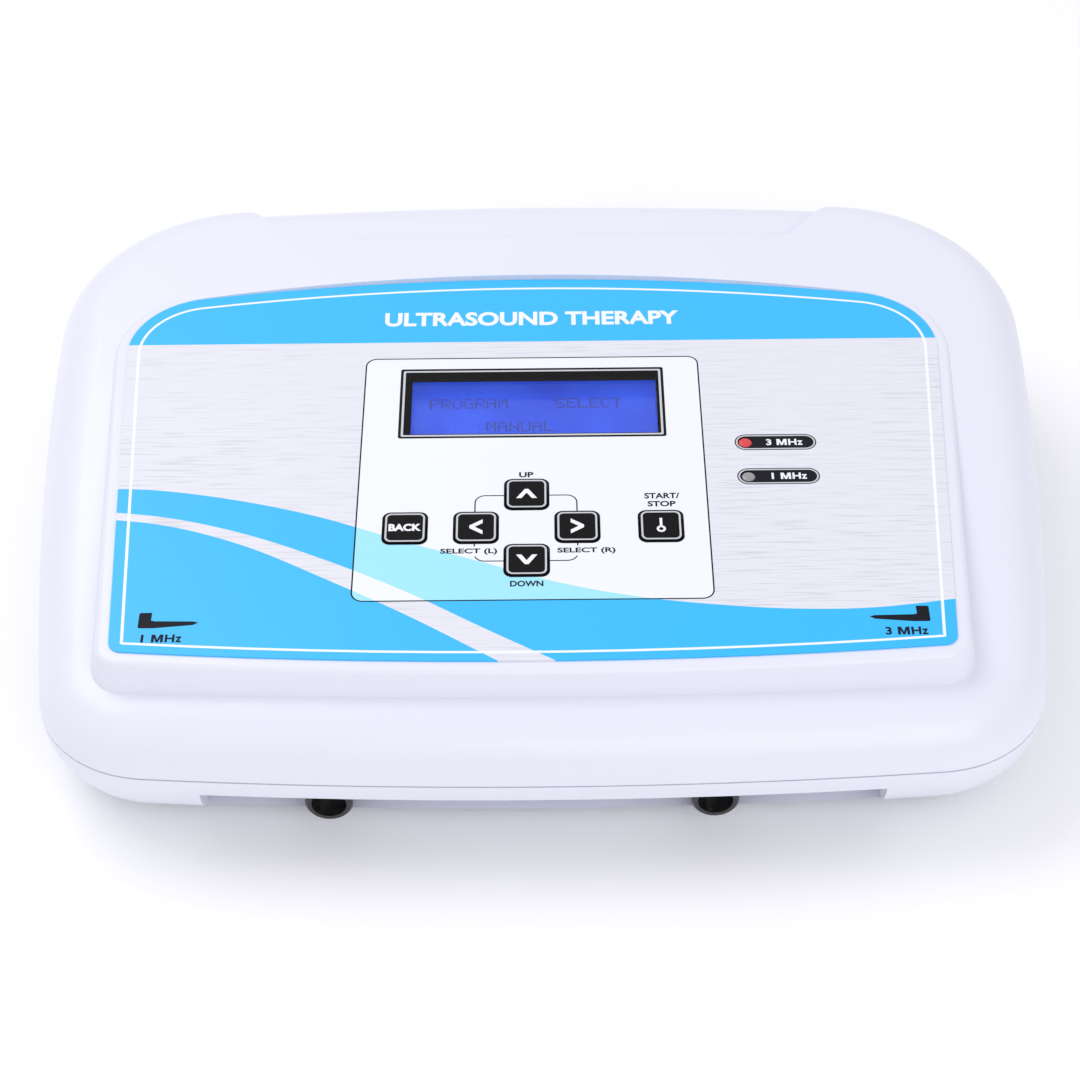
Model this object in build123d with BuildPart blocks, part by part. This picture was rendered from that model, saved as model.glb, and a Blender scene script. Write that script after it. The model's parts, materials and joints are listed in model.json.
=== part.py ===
"""Two-frequency ultrasound therapy device: a bench-top case with a tilted membrane
control panel, a character display, two probe sockets under the front lip and the
mains inlet, switch, fuse and heat sink at the back.  Millimetres, +Z up, X to the
right, the front faces -Y.  The origin is the bottom centre of the whole device."""

import os
from math import atan, cos, radians, sin, sqrt, tan

from build123d import *

os.makedirs("parts", exist_ok=True)

# ---------------------------------------------------------------- driving dimensions
OVERALL_DEPTH = 249.2  # case front to the heat sink's fins
CASE_DEPTH = 242.7  # case front to case back, on the centre line
FRONT_Y = -OVERALL_DEPTH / 2
WALL = 3.2  # moulded cover wall
SEAM_Z = 28.0  # joint line between the two covers
SEAM_GAP = 0.5
BASE_Z = 4.0  # underside of the case, above the table
PANEL_TILT = 3.0  # degrees
PANEL_D = 99.2  # panel origin, behind the case front
PANEL_Z = 58.2
PANEL_X = -2.5  # the printed panel sits a little left of the case's centre
FILM = 0.5  # overlay thickness
KEY_SIZE = 12.4
KEY_GAP = 0.3
KEY_TRAVEL = 0.5


def back(distance):
    """Y of a point that lies this far behind the front of the case."""
    return FRONT_Y + distance


# Plan outline of the case: four shallow arcs with rounded corners.
HALF_WIDTH = 156.6
WIDEST_D = 198.2
FRONT_BOW_R = 1500.0
SIDE_BOW_R = 1220.0
BACK_BOW_R = 2430.0
FRONT_CORNER_R = 36.0
BACK_CORNER_R = 58.0

# Crowned top: an arc across the case, turned about a far axis under the rear.
CROWN_D = 259.2
CROWN_Z = 66.5
CROWN_R_LENGTHWISE = 1400.0
CROWN_R_ACROSS = 3500.0
TOP_EDGE_R = 17.0
BOTTOM_EDGE_R = 23.0

# Recess under the front lip, and the window at the back.
RECESS_HALF = 97.0
RECESS_TOP = 22.0
RECESS_FLOOR = 8.0
FRONT_PLATE_D = 18.0  # outer face of the front plate
REAR_HALF = 96.0
REAR_BOTTOM = 9.0
REAR_TOP = 50.5
REAR_PLATE_D = 234.0  # outer face of the rear plate
PLATE = 2.0
PLATE_GAP = 0.2
FRAME_RIB = 2.5  # lip round each plate

SOCKET_R = 6.8
SOCKET_Z = 15.0
SOCKET_D = 6.0  # front of the socket shells
SOCKET_X = (-61.0, 49.0)
SOCKET_BORE_R = 5.0
SOCKET_BORE_DEPTH = 5.0
SOCKET_FLOOR_D = SOCKET_D + SOCKET_BORE_DEPTH
SOCKET_THREAD_R = 4.6
SOCKET_NUT_R = 6.3
INSERT_R = 4.2
INSERT_DEPTH = 3.0
CONTACT_R = 0.8
CONTACT_BORE_R = 0.45
CONTACT_CIRCLE_R = 2.3

SCOOP_D = 211.9  # front edge of the shallow step across the rear of the top
SCOOP_HALF = 82.0
SCOOP_FLARE = 30.0
SCOOP_DEPTH = 1.8

SCREW_R = 1.75
SCREWS = ((-120.0, back(60.0)), (120.0, back(60.0)), (-126.0, back(188.0)), (126.0, back(188.0)))
FEET = ((-110.0, back(40.0)), (110.0, back(40.0)), (-117.0, back(208.0)), (117.0, back(208.0)))
FOOT_R = 9.0
STUD_R = 2.5

INLET = (-62.0, 30.0)  # X and Z of each piece on the rear plate
SWITCH = (-20.0, 30.0)
FUSE = (10.0, 30.0)
SINK = (81.5, 32.5)

panel = Plane(
    origin=(PANEL_X, back(PANEL_D), PANEL_Z),
    x_dir=(1, 0, 0),
    z_dir=(0, -sin(radians(PANEL_TILT)), cos(radians(PANEL_TILT))),
)

# Printed panel: trapezoid with a bowed front and an arched back.
FILM_FRONT_HALF = 119.3
FILM_FRONT_CORNER = -71.0
FILM_FRONT = -76.0
FILM_BACK_HALF = 129.7
FILM_LENGTH = 150.2  # corner to corner along the panel
FILM_BACK = 91.7
FILM_FRONT_BOW_R = 1426.0
FILM_BACK_BOW_R = 673.0
FILM_ARCH_R = 26.0
FILM_FRONT_R = 4.0

DISPLAY = (0.0, 31.7)
DISPLAY_SIZE = (81.0, 31.0)
MODULE = (0.0, 33.7)  # centre of the display module, set back so that it shows in the window
MODULE_BASE = -10.4
MODULE_GLASS = (92.0, 34.0)
MODULE_VIEW = (77.5, 26.5)
GLASS_BASE = -7.0
GLASS = 2.2
BEZEL_OUTSIDE = (96.5, 38.5)
BEZEL_SHEET = 0.8
BEZEL_TOP = -3.8
DISPLAY_BOARD = (98.0, 60.0)
DISPLAY_BOARD_HOLES = (92.0, 54.0)
WINDOW = 1.5  # thickness of the window under the film
KEYS = {
    "back": (-37.5, -23.2),
    "left": (-16.6, -23.2),
    "up": (-1.7, -9.3),
    "down": (-1.7, -36.8),
    "right": (13.2, -23.2),
    "start": (37.8, -23.2),
}
LEDS = {"led_3mhz": (64.7, 12.6), "led_1mhz": (64.8, -2.4)}
LED_R = 2.0


# ---------------------------------------------------------------- shared shapes
def case_outline(inset=0.0):
    """The case seen from above, made smaller by the inset: where four large discs meet."""
    with BuildSketch() as outline:
        with Locations((0, back(FRONT_BOW_R))):
            Circle(FRONT_BOW_R - inset)
        with Locations((0, back(CASE_DEPTH - BACK_BOW_R))):
            Circle(BACK_BOW_R - inset, mode=Mode.INTERSECT)
        for side in (-1, 1):
            with Locations((side * (HALF_WIDTH - SIDE_BOW_R), back(WIDEST_D))):
                Circle(SIDE_BOW_R - inset, mode=Mode.INTERSECT)
        fillet(vertices().group_by(Axis.Y)[0], FRONT_CORNER_R - inset)
        fillet(vertices().group_by(Axis.Y)[-1], BACK_CORNER_R - inset)
    return outline.sketch


def upper_body(inset=0.0):
    """Solid pillow with the crowned top and its large edge radius."""
    half = 170.0
    sag = CROWN_R_ACROSS - sqrt(CROWN_R_ACROSS**2 - half**2)
    top_z = CROWN_Z - inset
    with BuildPart() as body:
        with BuildSketch(Plane(origin=(0, back(CROWN_D), 0), x_dir=(1, 0, 0), z_dir=(0, -1, 0))):
            with BuildLine():
                Polyline((half, top_z - sag), (half, -60), (-half, -60), (-half, top_z - sag))
                ThreePointArc((-half, top_z - sag), (0, top_z), (half, top_z - sag))
            make_face()
        revolve(axis=Axis((0, back(CROWN_D), CROWN_Z - CROWN_R_LENGTHWISE), (1, 0, 0)),
                revolution_arc=13.0)
        extrude(case_outline(inset), amount=90, mode=Mode.INTERSECT)
        fillet(faces().sort_by(Axis.Z)[-1].edges(), TOP_EDGE_R - inset)
    return body.part


def lower_body(inset=0.0):
    """Solid tray with the large radius along its bottom edge."""
    with BuildPart() as body:
        with BuildSketch(Plane.XY.offset(BASE_Z + inset)):
            add(case_outline(inset))
        extrude(amount=40)
        fillet(faces().sort_by(Axis.Z)[0].edges(), BOTTOM_EDGE_R - inset)
    return body.part


def film_outline(margin=0.0):
    """Outline of the printed panel, in its own plane, made larger by the margin."""
    side = margin / cos(atan((FILM_BACK_HALF - FILM_FRONT_HALF) / FILM_LENGTH))
    with BuildSketch() as outline:
        with BuildLine():
            lean = (FILM_BACK_HALF - FILM_FRONT_HALF) / FILM_LENGTH * 40
            front_y = FILM_FRONT_CORNER - 40
            rear_y = FILM_FRONT_CORNER + FILM_LENGTH + 40
            Polyline(
                (-FILM_FRONT_HALF + lean - side, front_y),
                (FILM_FRONT_HALF - lean + side, front_y),
                (FILM_BACK_HALF + lean + side, rear_y),
                (-FILM_BACK_HALF - lean - side, rear_y),
                close=True,
            )
        make_face()
        with Locations((0, FILM_FRONT + FILM_FRONT_BOW_R)):
            Circle(FILM_FRONT_BOW_R + margin, mode=Mode.INTERSECT)
        with Locations((0, FILM_BACK - FILM_BACK_BOW_R)):
            Circle(FILM_BACK_BOW_R + margin, mode=Mode.INTERSECT)
        fillet(vertices().group_by(Axis.Y)[0], FILM_FRONT_R + margin)
        fillet(vertices().group_by(Axis.Y)[-1], FILM_ARCH_R + margin)
    return outline.sketch


def platform(margin, top, height, edge_radius=0.0, slope=15.0):
    """Raised wedge under the printed panel, widening downwards."""
    with BuildPart() as wedge:
        with BuildSketch(panel.offset(top - height)):
            add(film_outline(margin + height * tan(radians(slope))))
        extrude(amount=height, taper=slope)
        if edge_radius:
            fillet(faces().sort_by(Axis((0, 0, 0), panel.z_dir))[-1].edges(), edge_radius)
    return wedge.part


def block(low, high):
    """Box between two corners, each given as X, distance behind the front, Z."""
    size = [b - a for a, b in zip(low, high)]
    middle = [(a + b) / 2 for a, b in zip(low, high)]
    return Pos(middle[0], back(middle[1]), middle[2]) * Box(*size)


def rear_face(distance):
    """Plane facing backwards whose local x runs along +X and y along +Z."""
    return Plane(origin=(0, back(distance), 0), x_dir=(1, 0, 0), z_dir=(0, -1, 0))


def finish(body, name):
    """Name the part and write it."""
    body.label = name
    export_step(body, f"parts/{name}.step")


upper_outside = upper_body()
upper_inside = upper_body(WALL)
lower_outside = lower_body()
lower_inside = lower_body(WALL)
front_frame = block(
    (-RECESS_HALF - FRAME_RIB, -1, 0),
    (RECESS_HALF + FRAME_RIB, FRONT_PLATE_D + PLATE + FRAME_RIB, RECESS_TOP + FRAME_RIB),
)
front_opening = block((-RECESS_HALF, -5, RECESS_FLOOR), (RECESS_HALF, FRONT_PLATE_D + PLATE, RECESS_TOP))
front_way = block((-RECESS_HALF + 3, 0, RECESS_FLOOR), (RECESS_HALF - 3, FRONT_PLATE_D + 10, RECESS_TOP))
rear_frame = block(
    (-REAR_HALF - FRAME_RIB, REAR_PLATE_D - PLATE - FRAME_RIB, REAR_BOTTOM - FRAME_RIB),
    (REAR_HALF + FRAME_RIB, CASE_DEPTH + 2, REAR_TOP + FRAME_RIB),
)
rear_opening = block(
    (-REAR_HALF, REAR_PLATE_D - PLATE, REAR_BOTTOM), (REAR_HALF, CASE_DEPTH + 5, REAR_TOP)
)
rear_way = block(
    (-REAR_HALF + 3, REAR_PLATE_D - 12, REAR_BOTTOM + 2), (REAR_HALF - 3, CASE_DEPTH, REAR_TOP - 2)
)

tongue_gap = block(
    (-REAR_HALF - FRAME_RIB - 0.3, REAR_PLATE_D - PLATE - FRAME_RIB - 0.3, SEAM_Z - SEAM_GAP / 2),
    (REAR_HALF + FRAME_RIB + 0.3, CASE_DEPTH, SEAM_Z + 4),
)
upper_edge = Plane.XY.offset(SEAM_Z + SEAM_GAP / 2)
lower_edge = Plane.XY.offset(SEAM_Z - SEAM_GAP / 2)

# ---------------------------------------------------------------- covers
with BuildPart() as scoop:
    # Shallow step across the rear of the top, open to the back.
    with BuildSketch(Plane.XY.offset(REAR_TOP)):
        with BuildLine():
            scoop_back = back(CASE_DEPTH + 8)
            Polyline(
                (-SCOOP_HALF, back(SCOOP_D)),
                (SCOOP_HALF, back(SCOOP_D)),
                (SCOOP_HALF + SCOOP_FLARE, scoop_back),
                (-SCOOP_HALF - SCOOP_FLARE, scoop_back),
                close=True,
            )
        make_face()
        fillet(vertices().group_by(Axis.Y)[0], 8)
    extrude(amount=30)
    add(upper_body(SCOOP_DEPTH), mode=Mode.SUBTRACT)

with BuildPart() as top_cover:
    add(upper_outside)
    add(platform(3.8, 0.0, 14.0, edge_radius=2.2))
    with BuildSketch(panel):
        add(film_outline(0.8))
    extrude(amount=12, mode=Mode.SUBTRACT)
    add(scoop.part, mode=Mode.SUBTRACT)
    add(upper_inside, mode=Mode.SUBTRACT)
    add(platform(1.3, -WALL, 12.0), mode=Mode.SUBTRACT)
    add(rear_frame & upper_outside)
    with BuildSketch(upper_edge):
        with Locations(*SCREWS):
            Circle(4.5)
    extrude(until=Until.NEXT)
    split(bisect_by=upper_edge, keep=Keep.TOP)
    add(rear_opening, mode=Mode.SUBTRACT)
    add(rear_way, mode=Mode.SUBTRACT)
    with BuildSketch(upper_edge):
        with Locations(*SCREWS):
            Circle(SCREW_R)
    extrude(amount=14, mode=Mode.SUBTRACT)
    # Openings for the display, the keys and the lamps.
    with BuildSketch(panel):
        with Locations(DISPLAY):
            RectangleRounded(DISPLAY_SIZE[0] + 0.6, DISPLAY_SIZE[1] + 0.6, 0.5)
        with Locations(*KEYS.values()):
            RectangleRounded(KEY_SIZE + 2 * KEY_GAP, KEY_SIZE + 2 * KEY_GAP, 2.4)
        with Locations(*LEDS.values()):
            Circle(LED_R + 0.3)
    extrude(amount=-8, mode=Mode.SUBTRACT)
finish(top_cover.part, "top_cover")

with BuildPart() as bottom_cover:
    add(lower_outside)
    add(lower_inside, mode=Mode.SUBTRACT)
    split(bisect_by=lower_edge, keep=Keep.BOTTOM)
    add(front_frame & lower_outside)
    add((rear_frame & lower_outside).split(lower_edge, keep=Keep.BOTTOM))
    # Tongue that the top cover drops over.
    with BuildSketch(Plane.XY.offset(SEAM_Z - 5)):
        add(case_outline(WALL))
        add(case_outline(WALL + 1.0), mode=Mode.SUBTRACT)
    extrude(amount=5 - SEAM_GAP / 2)
    with BuildSketch(Plane.XY.offset(SEAM_Z - 5)):
        add(case_outline(WALL + 1.0))
        add(case_outline(WALL + 2.4), mode=Mode.SUBTRACT)
    extrude(amount=6.8)
    with BuildSketch(Plane.XY.offset(BASE_Z + WALL)):
        with Locations(*SCREWS):
            Circle(5.5)
    extrude(amount=SEAM_Z - SEAM_GAP / 2 - BASE_Z - WALL)
    add(front_opening, mode=Mode.SUBTRACT)
    add(front_way, mode=Mode.SUBTRACT)
    add(rear_opening, mode=Mode.SUBTRACT)
    add(rear_way, mode=Mode.SUBTRACT)
    add(tongue_gap, mode=Mode.SUBTRACT)
    with BuildSketch(Plane.XY.offset(BASE_Z)):
        with Locations(*SCREWS):
            Circle(SCREW_R)
    extrude(amount=30, mode=Mode.SUBTRACT)
    with BuildSketch(Plane.XY.offset(BASE_Z)):
        with Locations(*SCREWS):
            Circle(3.6)
    extrude(amount=8, mode=Mode.SUBTRACT)
    with BuildSketch(Plane.XY.offset(BASE_Z)):
        with Locations(*FEET):
            Circle(STUD_R)
        # Cooling slots under the circuit board.
        with Locations((0, back(92)), (0, back(140))):
            with GridLocations(9, 0, 12, 1):
                SlotOverall(32, 3, rotation=90)
    extrude(amount=WALL, mode=Mode.SUBTRACT)
finish(bottom_cover.part, "bottom_cover")

with BuildPart() as case_screws:
    with BuildSketch(Plane.XY.offset(BASE_Z + 8 - 2.6)):
        with Locations(*SCREWS):
            Circle(3.3)
    extrude(amount=2.6)
    with BuildSketch(Plane.XY.offset(BASE_Z + 8 - 2.6)):
        with Locations(*SCREWS):
            RegularPolygon(1.4, 6)
    extrude(amount=1.5, mode=Mode.SUBTRACT)
    with BuildSketch(Plane.XY.offset(BASE_Z + 8)):
        with Locations(*SCREWS):
            Circle(SCREW_R - 0.02)
    extrude(amount=26)
finish(case_screws.part, "case_screws")

with BuildPart() as rubber_feet:
    with BuildSketch():
        with Locations(*FEET):
            Circle(FOOT_R)
    extrude(amount=BASE_Z, taper=4)
    fillet(edges().group_by(Axis.Z)[0], 0.8)
    with BuildSketch(Plane.XY.offset(BASE_Z)):
        with Locations(*FEET):
            Circle(STUD_R)
    extrude(amount=WALL)
    with BuildSketch(Plane.XY.offset(BASE_Z + WALL)):
        with Locations(*FEET):
            Circle(STUD_R + 0.8)
    extrude(amount=1.2, taper=20)
finish(rubber_feet.part, "rubber_feet")

# ---------------------------------------------------------------- front plate and sockets
socket_points = [(x, SOCKET_Z) for x in SOCKET_X]
contact_points = [
    (x + CONTACT_CIRCLE_R * cos(turn), z + CONTACT_CIRCLE_R * sin(turn))
    for x, z in socket_points
    for turn in (radians(45 + 90 * i) for i in range(4))
]
with BuildPart() as front_plate:
    with BuildSketch(rear_face(FRONT_PLATE_D + PLATE)):
        middle_z = (RECESS_TOP + RECESS_FLOOR) / 2
        with Locations((0, middle_z)):
            Rectangle(2 * (RECESS_HALF - PLATE_GAP), RECESS_TOP - RECESS_FLOOR - 2 * PLATE_GAP)
        with Locations(*socket_points):
            Circle(SOCKET_THREAD_R, mode=Mode.SUBTRACT)
    extrude(amount=PLATE)
finish(front_plate.part, "front_plate")

with BuildPart() as probe_sockets:
    for distance, radius, length in (
        (FRONT_PLATE_D, SOCKET_R, FRONT_PLATE_D - SOCKET_D),
        (FRONT_PLATE_D + PLATE + 8, SOCKET_THREAD_R, PLATE + 8),
    ):
        with BuildSketch(rear_face(distance)):
            with Locations(*socket_points):
                Circle(radius)
        extrude(amount=length)
    chamfer(edges().group_by(Axis.Y)[0], 0.6)
    for distance, radius, length in (
        (SOCKET_FLOOR_D, SOCKET_BORE_R, SOCKET_BORE_DEPTH + 1),
        (SOCKET_FLOOR_D + INSERT_DEPTH, INSERT_R, INSERT_DEPTH + 1),
    ):
        with BuildSketch(rear_face(distance)):
            with Locations(*socket_points):
                Circle(radius)
        extrude(amount=length, mode=Mode.SUBTRACT)
finish(probe_sockets.part, "probe_sockets")

with BuildPart() as socket_inserts:
    with BuildSketch(rear_face(SOCKET_FLOOR_D + INSERT_DEPTH)):
        with Locations(*socket_points):
            Circle(INSERT_R)
    extrude(amount=INSERT_DEPTH)
    with BuildSketch(rear_face(SOCKET_FLOOR_D + INSERT_DEPTH)):
        with Locations(*contact_points):
            Circle(CONTACT_R)
    extrude(amount=INSERT_DEPTH, mode=Mode.SUBTRACT)
finish(socket_inserts.part, "socket_inserts")

with BuildPart() as socket_contacts:
    with BuildSketch(rear_face(SOCKET_FLOOR_D + INSERT_DEPTH)):
        with Locations(*contact_points):
            Circle(CONTACT_R)
    extrude(amount=INSERT_DEPTH)
    with BuildSketch(rear_face(SOCKET_FLOOR_D + INSERT_DEPTH - 0.5)):
        with Locations(*contact_points):
            Circle(CONTACT_BORE_R)
    extrude(amount=INSERT_DEPTH, mode=Mode.SUBTRACT)
finish(socket_contacts.part, "socket_contacts")

with BuildPart() as socket_nuts:
    with BuildSketch(rear_face(FRONT_PLATE_D + PLATE + 3)):
        with Locations(*socket_points):
            RegularPolygon(SOCKET_NUT_R, 6)
            Circle(SOCKET_THREAD_R, mode=Mode.SUBTRACT)
    extrude(amount=3)
finish(socket_nuts.part, "socket_nuts")

# ---------------------------------------------------------------- rear plate and its pieces
INLET_HOLE = (28.4, 20.6)
SWITCH_HOLE = (19.2, 13.2)
FUSE_HOLE_R = 6.4
SINK_SIZE = (27.0, 35.0)
INLET_SCREWS = [(INLET[0] - 20, INLET[1]), (INLET[0] + 20, INLET[1])]
SINK_SCREWS = [(SINK[0], SINK[1] - 13), (SINK[0], SINK[1] + 13)]
with BuildPart() as rear_plate:
    with BuildSketch(rear_face(REAR_PLATE_D)):
        with Locations((0, (REAR_BOTTOM + REAR_TOP) / 2)):
            Rectangle(2 * (REAR_HALF - PLATE_GAP), REAR_TOP - REAR_BOTTOM - 2 * PLATE_GAP)
        with Locations(INLET):
            Rectangle(*INLET_HOLE, mode=Mode.SUBTRACT)
        with Locations(SWITCH):
            Rectangle(*SWITCH_HOLE, mode=Mode.SUBTRACT)
        with Locations(FUSE):
            Circle(FUSE_HOLE_R, mode=Mode.SUBTRACT)
        with Locations(*INLET_SCREWS, *SINK_SCREWS):
            Circle(1.5, mode=Mode.SUBTRACT)
        with Locations((42, 22), (42, 30), (42, 38)):
            SlotOverall(30, 3, mode=Mode.SUBTRACT)
    extrude(amount=PLATE)
finish(rear_plate.part, "rear_plate")

inlet_face = REAR_PLATE_D + 2.6
with BuildPart() as mains_inlet:
    with BuildSketch(rear_face(inlet_face)):
        with Locations(INLET):
            RectangleRounded(50, 22.6, 4)
        with Locations(*INLET_SCREWS):
            Circle(1.7, mode=Mode.SUBTRACT)
    extrude(amount=2.6)
    with BuildSketch(rear_face(REAR_PLATE_D)):
        with Locations(INLET):
            RectangleRounded(INLET_HOLE[0] - 0.4, INLET_HOLE[1] - 0.4, 2)
    extrude(amount=20)
    with BuildSketch(rear_face(inlet_face)):
        with Locations(INLET):
            Polygon(
                (-12.2, 8.4), (-12.2, -4.4), (-8.2, -8.4), (8.2, -8.4), (12.2, -4.4), (12.2, 8.4),
                align=None,
            )
    extrude(amount=16.5, mode=Mode.SUBTRACT)
    with BuildSketch(rear_face(inlet_face - 16.5)):
        with Locations((INLET[0] - 7, INLET[1] - 2), (INLET[0] + 7, INLET[1] - 2), (INLET[0], INLET[1] + 2)):
            Rectangle(2, 4)
    extrude(amount=7, mode=Mode.SUBTRACT)
finish(mains_inlet.part, "mains_inlet")

with BuildPart() as inlet_pins:
    with BuildSketch(rear_face(inlet_face - 4)):
        with Locations((INLET[0] - 7, INLET[1] - 2), (INLET[0] + 7, INLET[1] - 2), (INLET[0], INLET[1] + 2)):
            Rectangle(2, 4)
    extrude(amount=26)
    chamfer(edges().group_by(Axis.Y)[-1], 0.5)
finish(inlet_pins.part, "inlet_pins")

with BuildPart() as plate_screws:
    for points, distance in ((INLET_SCREWS, inlet_face), (SINK_SCREWS, REAR_PLATE_D + 3)):
        with BuildSketch(rear_face(distance + 1.6)):
            with Locations(*points):
                Circle(2.8)
        extrude(amount=1.6)
        with BuildSketch(rear_face(distance + 1.6)):
            with Locations(*points):
                Rectangle(4.6, 0.8)
        extrude(amount=0.8, mode=Mode.SUBTRACT)
        with BuildSketch(rear_face(distance)):
            with Locations(*points):
                Circle(1.45)
        extrude(amount=distance - REAR_PLATE_D + PLATE + 3)
finish(plate_screws.part, "plate_screws")

# Rocker switch: the rocker turns about a pin across the housing.
ROCKER_AXIS_D = REAR_PLATE_D - 1.0
ROCKER_TILT = 14.0  # each way from the middle; the rocker rests with its lower end out
ROCKER_WIDTH = 16.4
with BuildPart() as switch_housing:
    with BuildSketch(rear_face(REAR_PLATE_D + 1.6)):
        with Locations(SWITCH):
            RectangleRounded(21.2, 15.2, 1.2)
    extrude(amount=1.6)
    with BuildSketch(rear_face(REAR_PLATE_D)):
        with Locations(SWITCH):
            Rectangle(SWITCH_HOLE[0] - 0.3, SWITCH_HOLE[1] - 0.3)
    extrude(amount=17)
    with BuildSketch(rear_face(REAR_PLATE_D + 1.6)):
        with Locations(SWITCH):
            Rectangle(17.2, 11.2)
    extrude(amount=13, mode=Mode.SUBTRACT)
finish(switch_housing.part, "switch_housing")

rocker_side = Plane(
    origin=(SWITCH[0] - ROCKER_WIDTH / 2, back(ROCKER_AXIS_D), SWITCH[1]),
    x_dir=(0, 1, 0),
    z_dir=(1, 0, 0),
)
rocker_tilted = Plane(
    origin=rocker_side.origin,
    x_dir=(0, cos(radians(ROCKER_TILT)), sin(radians(ROCKER_TILT))),
    z_dir=(1, 0, 0),
)
with BuildPart() as power_rocker:
    with BuildSketch(rocker_tilted):
        with BuildLine():
            Polyline(
                (-2.2, 2.2), (1.2, 4.2), (4.4, 4.2), (3.3, 0), (4.4, -4.2), (1.2, -4.2), (-2.2, -2.2),
                close=True,
            )
        make_face()
        fillet(vertices().group_by(Axis.X)[-1], 0.5)
        Circle(0.8, mode=Mode.SUBTRACT)
    extrude(amount=ROCKER_WIDTH)
finish(power_rocker.part, "power_rocker")

with BuildPart() as rocker_pin:
    with BuildSketch(rocker_side.offset(-0.4)):
        Circle(0.75)
    extrude(amount=ROCKER_WIDTH + 0.8)
finish(rocker_pin.part, "rocker_pin")

with BuildPart() as fuse_holder:
    with BuildSketch(rear_face(REAR_PLATE_D + 1.8)):
        with Locations(FUSE):
            Circle(8.4)
    extrude(amount=1.8)
    with BuildSketch(rear_face(REAR_PLATE_D)):
        with Locations(FUSE):
            Circle(FUSE_HOLE_R - 0.2)
    extrude(amount=30)
    with BuildSketch(rear_face(REAR_PLATE_D + 1.8)):
        with Locations(FUSE):
            Circle(5.2)
    extrude(amount=29, mode=Mode.SUBTRACT)
finish(fuse_holder.part, "fuse_holder")

with BuildPart() as fuse_cap:
    with BuildSketch(rear_face(REAR_PLATE_D + 5.0)):
        with Locations(FUSE):
            Circle(6.4)
    extrude(amount=3.0)
    fillet(edges().group_by(Axis.Y)[-1], 0.8)
    with BuildSketch(rear_face(REAR_PLATE_D + 2.0)):
        with Locations(FUSE):
            Circle(4.9)
    extrude(amount=6)
    with BuildSketch(rear_face(REAR_PLATE_D + 5.0)):
        with Locations(FUSE):
            Rectangle(9.0, 1.2)
    extrude(amount=1.4, mode=Mode.SUBTRACT)
    with BuildSketch(rear_face(REAR_PLATE_D - 1)):
        with Locations(FUSE):
            Circle(2.6)
    extrude(amount=3, mode=Mode.SUBTRACT)
finish(fuse_cap.part, "fuse_cap")

with BuildPart() as fuse:
    with BuildSketch(rear_face(REAR_PLATE_D - 1.2)):
        with Locations(FUSE):
            Circle(2.55)
    extrude(amount=20)
finish(fuse.part, "fuse")

with BuildPart() as heat_sink:
    with BuildSketch(rear_face(REAR_PLATE_D + 3)):
        with Locations(SINK):
            Rectangle(*SINK_SIZE)
        with Locations(*SINK_SCREWS):
            Circle(1.5, mode=Mode.SUBTRACT)
    extrude(amount=3)
    # Two banks of three fins, apart where the screws pass between them.
    fin_pitch = 4.2
    fin_length = OVERALL_DEPTH - REAR_PLATE_D - 3
    with BuildSketch(rear_face(OVERALL_DEPTH)):
        with Locations((SINK[0] - 2 * fin_pitch, SINK[1]), (SINK[0] + 2 * fin_pitch, SINK[1])):
            with GridLocations(fin_pitch, 0, 3, 1):
                Rectangle(1.6, SINK_SIZE[1])
    extrude(amount=fin_length)
    fillet(edges().filter_by(Axis.X).group_by(Axis.Y)[-1], 3.5)
finish(heat_sink.part, "heat_sink")

with BuildPart() as power_transistor:
    with BuildSketch(rear_face(REAR_PLATE_D - PLATE)):
        with Locations((SINK[0] + 6, SINK[1] - 2)):
            Rectangle(10, 15)
    extrude(amount=4.4)
    with BuildSketch(Plane.XY.offset(SINK[1] - 9.5)):
        with Locations((SINK[0] + 6, back(REAR_PLATE_D - PLATE - 3))):
            with GridLocations(2.54, 0, 3, 1):
                Rectangle(0.8, 0.6)
    extrude(amount=-8)
finish(power_transistor.part, "power_transistor")

# ---------------------------------------------------------------- control panel
with BuildPart() as control_overlay:
    with BuildSketch(panel):
        add(film_outline())
        with Locations(DISPLAY):
            RectangleRounded(*DISPLAY_SIZE, 0.6, mode=Mode.SUBTRACT)
        with Locations(*KEYS.values()):
            RectangleRounded(KEY_SIZE + 2 * KEY_GAP, KEY_SIZE + 2 * KEY_GAP, 2.4, mode=Mode.SUBTRACT)
        with Locations(*LEDS.values()):
            Circle(LED_R + 0.2, mode=Mode.SUBTRACT)
    extrude(amount=FILM)
finish(control_overlay.part, "control_overlay")

with BuildPart() as display_window:
    with BuildSketch(panel):
        with Locations(DISPLAY):
            RectangleRounded(DISPLAY_SIZE[0] - 0.1, DISPLAY_SIZE[1] - 0.1, 0.6)
    extrude(amount=FILM)
    with BuildSketch(panel):
        with Locations(DISPLAY):
            RectangleRounded(DISPLAY_SIZE[0] - 0.1, DISPLAY_SIZE[1] - 0.1, 0.6)
    extrude(amount=-WINDOW)
finish(display_window.part, "display_window")

KEY_TOP = 0.9
KEY_DEPTH = 3.6
SWITCH_TOP = -4.9
BOARD_TOP = -8.2
BOARD = 1.6
for key_name, place in KEYS.items():
    with BuildPart() as key:
        with BuildSketch(panel.offset(KEY_TOP - KEY_DEPTH)):
            with Locations(place):
                RectangleRounded(KEY_SIZE, KEY_SIZE, 2.1)
        extrude(amount=KEY_DEPTH)
        with BuildSketch(panel.offset(KEY_TOP - KEY_DEPTH)):
            with Locations(place):
                Circle(1.7)
        extrude(amount=SWITCH_TOP + KEY_TRAVEL + 0.2 - KEY_TOP + KEY_DEPTH)
    finish(key.part, f"key_{key_name}")

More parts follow.
